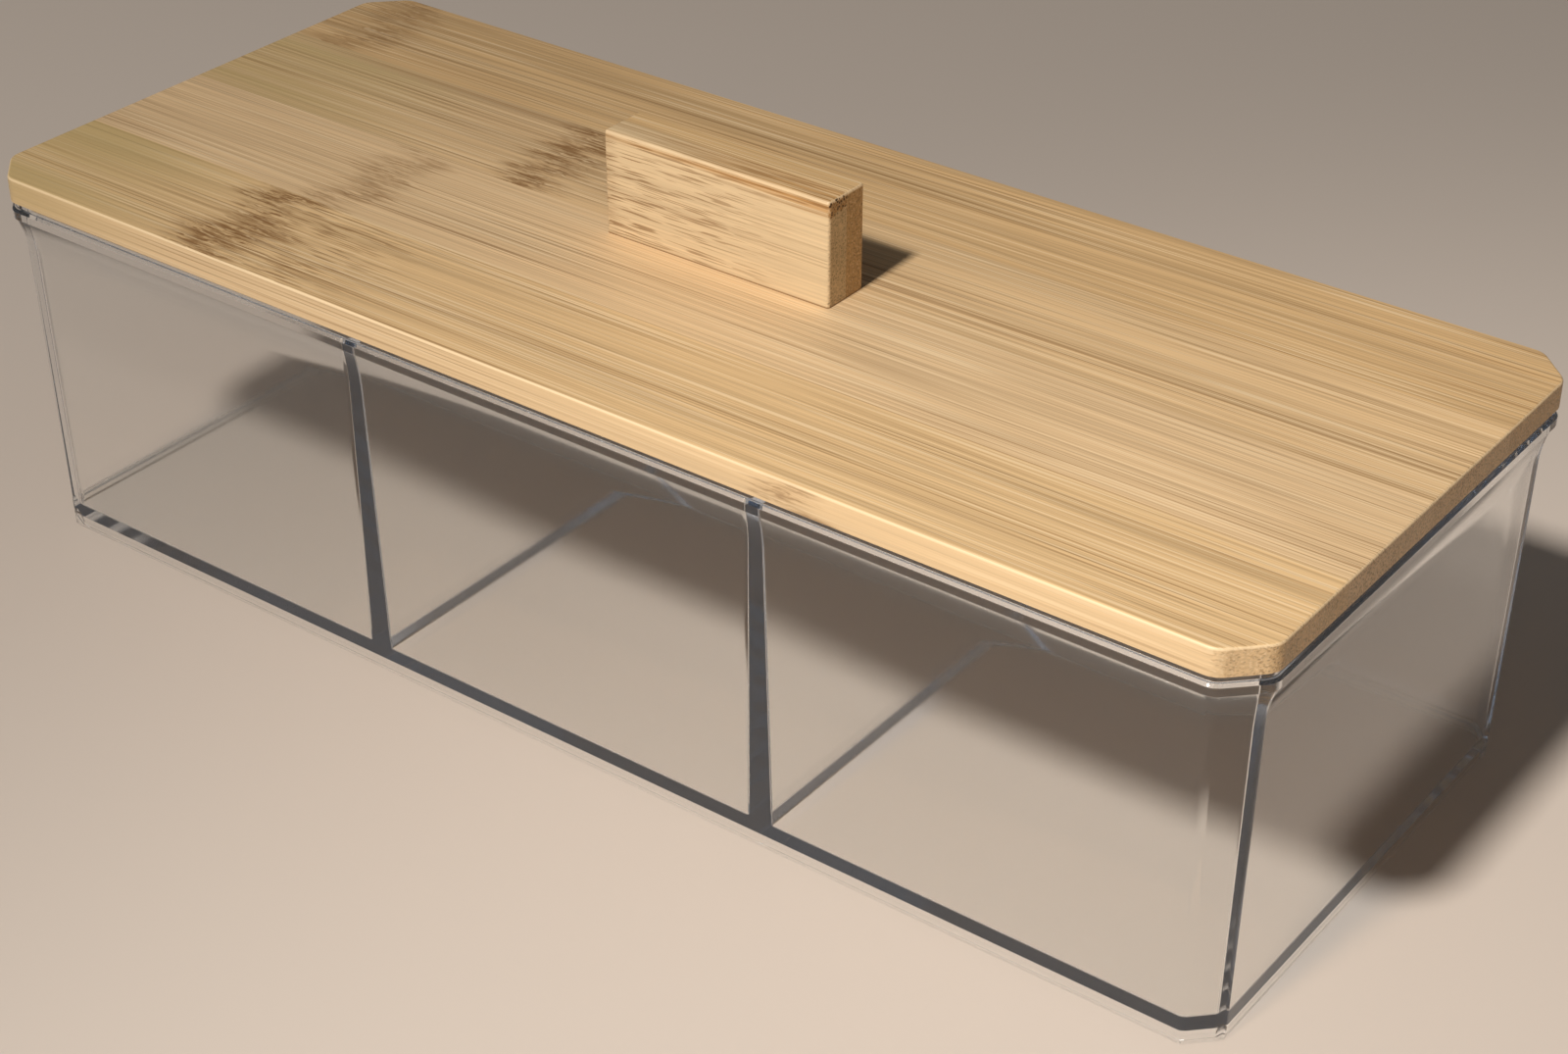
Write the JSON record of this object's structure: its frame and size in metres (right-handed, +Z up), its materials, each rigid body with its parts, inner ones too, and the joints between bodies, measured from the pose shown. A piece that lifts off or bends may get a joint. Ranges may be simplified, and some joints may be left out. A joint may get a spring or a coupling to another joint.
{
  "type": "organizer box",
  "caption": "Clear divided organizer box with a lift-off bamboo lid and a block handle, for tea bags, sachets and small kitchen things.",
  "frame": {"origin": "on the table, under the middle of the box", "axes": "+X along the row of compartments, +Y to the back, +Z up"},
  "size_m": [0.27, 0.109, 0.097],
  "materials": {
    "clear_plastic": "clear, polished moulding",
    "bamboo_lid": "satin natural bamboo, laminated strips",
    "bamboo_handle": "satin natural bamboo, laminated plies",
    "zinc_steel": "zinc plated"
  },
  "bodies": {
    "box": {"box": "clear_plastic"},
    "lid": {"lid_strip_1": "bamboo_lid", "lid_strip_2": "bamboo_lid", "lid_strip_3": "bamboo_lid", "lid_strip_4": "bamboo_lid", "lid_inset": "bamboo_lid", "handle_front_ply": "bamboo_handle", "handle_rear_ply": "bamboo_handle", "handle_screws": "zinc_steel"}
  },
  "joints": [
    {"name": "lid_lift", "type": "slide", "parent": "box", "child": "lid", "axis": [0, 0, 1], "range_m": [0, 0.06]}
  ]
}
